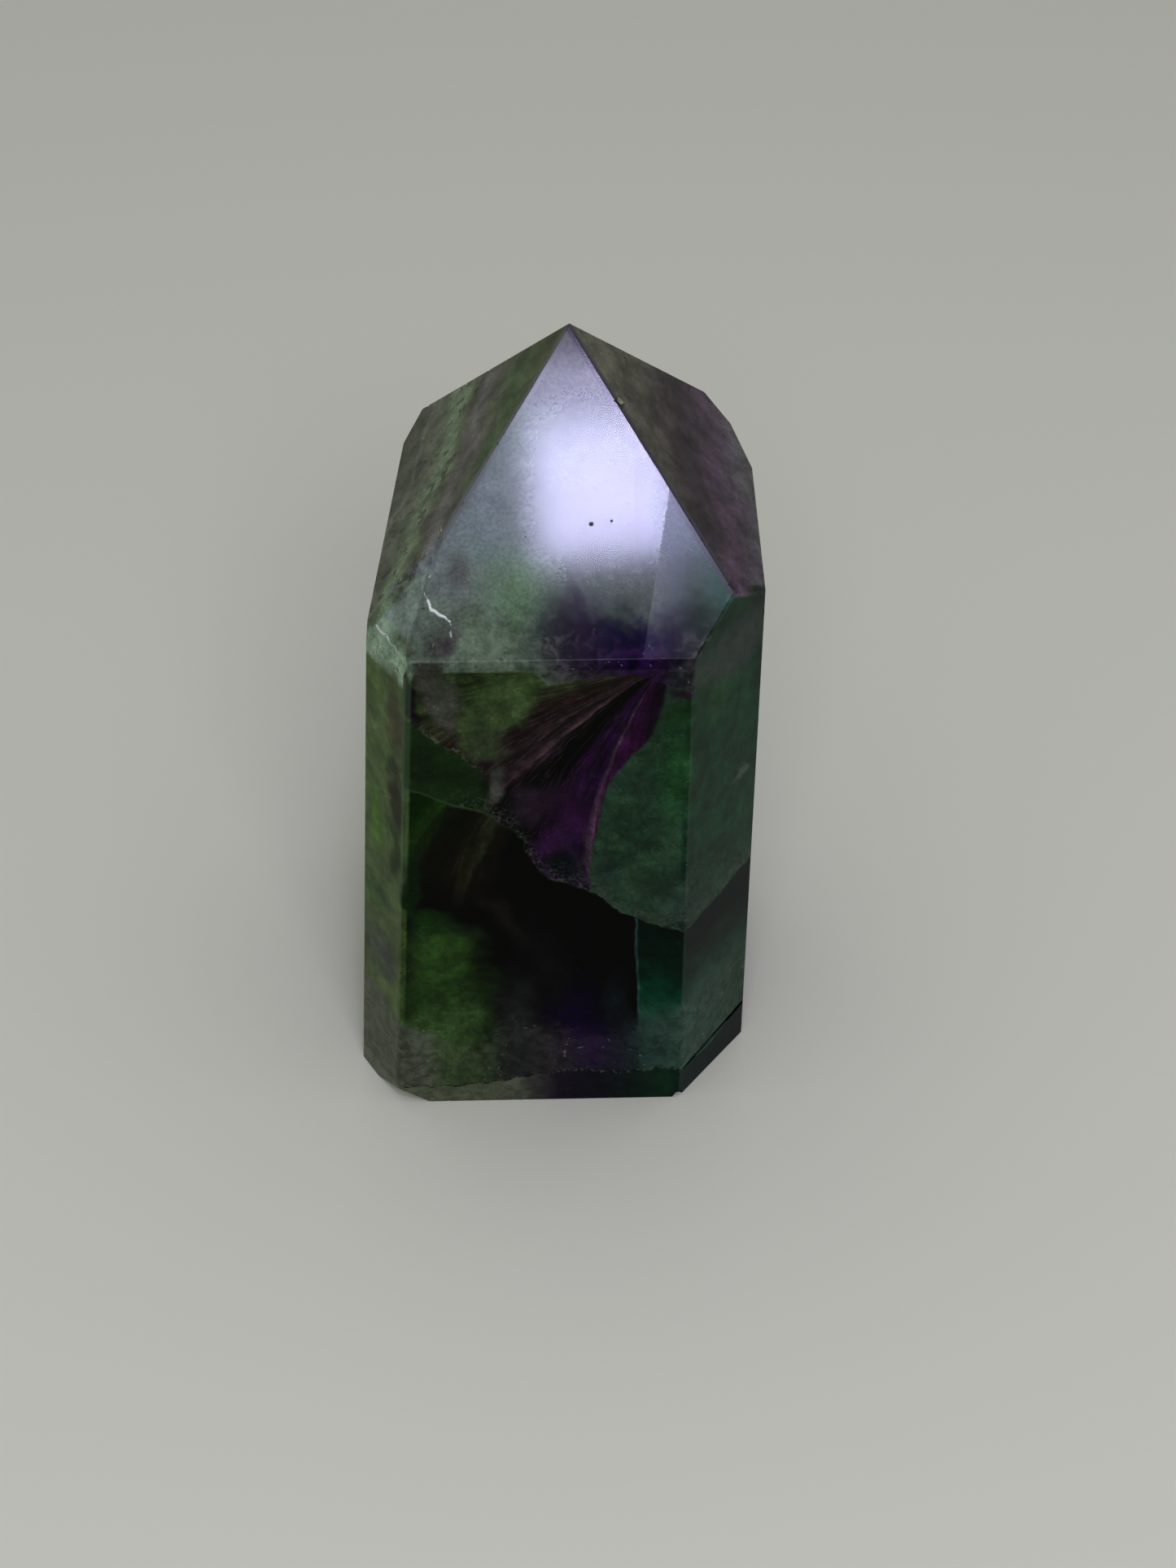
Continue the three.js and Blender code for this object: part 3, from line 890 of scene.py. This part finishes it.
def withMiddleRim(colour, here):
    x, middle = here.x, here.over["middle"]
    frost = here.side["above"] * middle.fade(3.2, 0.1) * here.upright * x.fade(-10, -7)
    frost = frost * here.grain.fade(0.42, 0.66) * here.lumps.fade(0.35, 0.6)
    rim = middle.size().fade(0.28, 0.0) * here.upright * here.cloud.fade(0.2, 0.5)
    colour = colour.tint(layerColours["rimFrost"], frost * 0.8)
    return colour.tint(layerColours["rim"], rim * (x.fade(-4, -6.5) * 0.7 + 0.3) * 0.6)


def withShoulder(colour, here, frost):
    lumps = here.lumps.fade(0.3, 0.7)
    corner = here.over["shoulder"].fade(-1.4, 1.8) * here.on["frontRight"] * here.z.fade(58, 54)
    colour = colour.tint(layerColours["shoulder"], corner * (0.4 + lumps * 0.5))
    return colour.tint(rampOf(here.x, acrossX["frost"]).scaled(0.4 + lumps * 1.2), frost * 0.8)


def withFoot(colour, here, haze):
    x, foot, lumps = here.x, here.over["foot"], here.lumps.fade(0.3, 0.7)
    colour = colour.tint(rampOf(x, acrossX["footHaze"]).scaled(0.7 + lumps * 0.6), haze * 0.85)
    under = foot.fade(0.05, -0.15) * here.upright
    colour = colour.tint(rampOf(x, acrossX["underFoot"]).scaled(0.8 + lumps * 0.4), under)
    rim = foot.size().fade(0.3, 0.05) * here.upright * here.grain.fade(0.5, 0.62) * x.fade(14, 11)
    return colour.tint(layerColours["footRim"], rim * 0.8)


def withEdges(colour, here):
    on = here.on
    high = here.z.fade(28, 34)
    # painted highlight along the front's left edge, on its upper part only
    colour = colour.tint(layerColours["frontEdgeHighlight"], on["front"] * on["frontLeft"] * high * 0.5)
    colour = colour.tint(layerColours["pointLeftEdge"], on["pointFront"] * on["pointLeft"] * 0.8)
    return colour.tint(layerColours["pointRightEdge"], on["pointFront"] * on["pointRight"] * 0.8)


def withGlints(colour, here):
    # painted highlights: each line tints the colour pale, and its mask, times its green, also makes the
    # surface metallic there, a painted shine
    glintShine = None
    for start, end, width, shade in glints:
        mask = nearLine(here.crisp, start, end, width)
        colour = colour.tint(shade, mask)
        mask = mask * shade[1]
        glintShine = mask if glintShine is None else glintShine.most(mask)
    return colour, glintShine * here.grain.fade(0.25, 0.45)


def roughnessOf(here, cloudy, finish):
    edge = finish["satinEdge"]
    inside = (here.z - edge["at"]) * edge["lean"] + edge["x"] - here.x
    satin = inside.fade(0.2, -0.2) * here.on["pointFront"]
    rough = finish["rough"] + cloudy * here.upright * (finish["roughFrost"] - finish["rough"])
    rough = rough.most(satin * finish["roughSatin"])
    return rough.most(here.on["front"] * here.on["pointFront"] * finish["roughEdge"])


def crystalMaterial(finish, facets):
    material = bpy.data.materials.new("banded fluorite")
    material.use_nodes = True
    tree = material.node_tree
    shader = tree.nodes["Principled BSDF"]
    shader.inputs["IOR"].default_value = finish["ior"]
    shader.inputs["Specular IOR Level"].default_value = finish["specular"]
    shader.inputs["Transmission Weight"].default_value = finish["transmission"]

    here = Surface(tree, facets, finish)
    hazes = hazeMasks(here)
    colour = mottled(bodyColour(here), here)
    colour = withVeil(colour, here, hazes["veil"])
    colour = withMiddleRim(colour, here)
    colour = withShoulder(colour, here, hazes["frost"])
    colour = withFoot(colour, here, hazes["foot"])
    colour = withEdges(colour, here)
    cloudy = (hazes["frost"] + hazes["foot"] + hazes["veil"] * 0.5).least(1)
    specks = here.place.noise(*textures["specks"]).fade(0.70, 0.76)
    colour = colour.tint(layerColours["specks"], specks * cloudy * 0.6)
    colour, glintShine = withGlints(colour, here)
    rough = roughnessOf(here, cloudy, finish)
    tree.links.new(colour.socket, shader.inputs["Base Color"])
    # metal only on the painted glints
    tree.links.new(glintShine.socket, shader.inputs["Metallic"])
    tree.links.new(rough.socket, shader.inputs["Roughness"])

    absorb = Wire(tree).put("ShaderNodeVolumeAbsorption", None, {
        "Color": (*finish["absorb"], 1), "Density": finish["absorbDensity"]})
    tree.links.new(absorb.socket, tree.nodes["Material Output"].inputs["Volume"])
    return material


crystal.data.materials.clear()
crystal.data.materials.append(crystalMaterial(crystalFinish, groundFacets(crystalShape)))
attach(crystal, "root")
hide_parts("fluorite_point")
print("crystal finish ready")


# ---- floor and light

floorSetup = {
    "size": 6000,
    "colour": (0.68, 0.68, 0.655),
    "roughness": 0.9,
    "specular": 0.1,
}

skySetup = {
    "colour": (0.99, 1.0, 0.96),
    "strength": 0.35,
}

panels = {  # place, what it faces, size, radiance, colour; the point's front facet mirrors the last two
    "ceilingPanel": ((60, -535, 520), (0, -60, 0), (420, 220), 3.6, (1.0, 0.985, 0.95)),
    "pointPanel": ((23.6, -183.5, 377.8), (2, -8, 64), (34.2, 31.8), 12, (0.74, 0.72, 1.0)),
    "pointGlow": ((22.4, -178.9, 382.3), (2, -8, 64), (36.6, 47.9), 10, (0.74, 0.72, 1.0)),
}


def addFloor(setup):
    bpy.ops.mesh.primitive_plane_add(size=setup["size"] * mm, location=(0, 0, 0))
    floor = bpy.context.object
    floor.name = "floor"
    paper = bpy.data.materials.new("paper")
    paper.use_nodes = True
    shader = paper.node_tree.nodes["Principled BSDF"]
    shader.inputs["Base Color"].default_value = (*setup["colour"], 1)
    shader.inputs["Roughness"].default_value = setup["roughness"]
    shader.inputs["Specular IOR Level"].default_value = setup["specular"]
    floor.data.materials.append(paper)


def addPanel(name, place, aimAt, size, radiance, colour):
    # radiance is what a mirror would show of the panel, so power follows from the size
    bpy.ops.object.light_add(type="AREA", location=Vector(place) * mm)
    lamp = bpy.context.object
    lamp.name = name
    lamp.data.shape = "RECTANGLE"
    lamp.data.size = size[0] * mm
    lamp.data.size_y = size[1] * mm
    lamp.data.energy = radiance * math.pi * size[0] * size[1] * mm * mm
    lamp.data.color = colour
    direction = (Vector(aimAt) - Vector(place)).normalized()
    lamp.rotation_euler = direction.to_track_quat("-Z", "Y").to_euler()


def addSky(setup):
    world = bpy.data.worlds.new("sky")
    bpy.context.scene.world = world
    world.use_nodes = True
    sky = world.node_tree.nodes["Background"]
    sky.inputs["Color"].default_value = (*setup["colour"], 1)
    sky.inputs["Strength"].default_value = setup["strength"]


addFloor(floorSetup)
addSky(skySetup)
for panelName, panel in panels.items():
    addPanel(panelName, *panel)
bpy.context.scene.view_settings.view_transform = "Standard"
bpy.context.scene.view_settings.look = "Very High Contrast"
print("floor and light ready")
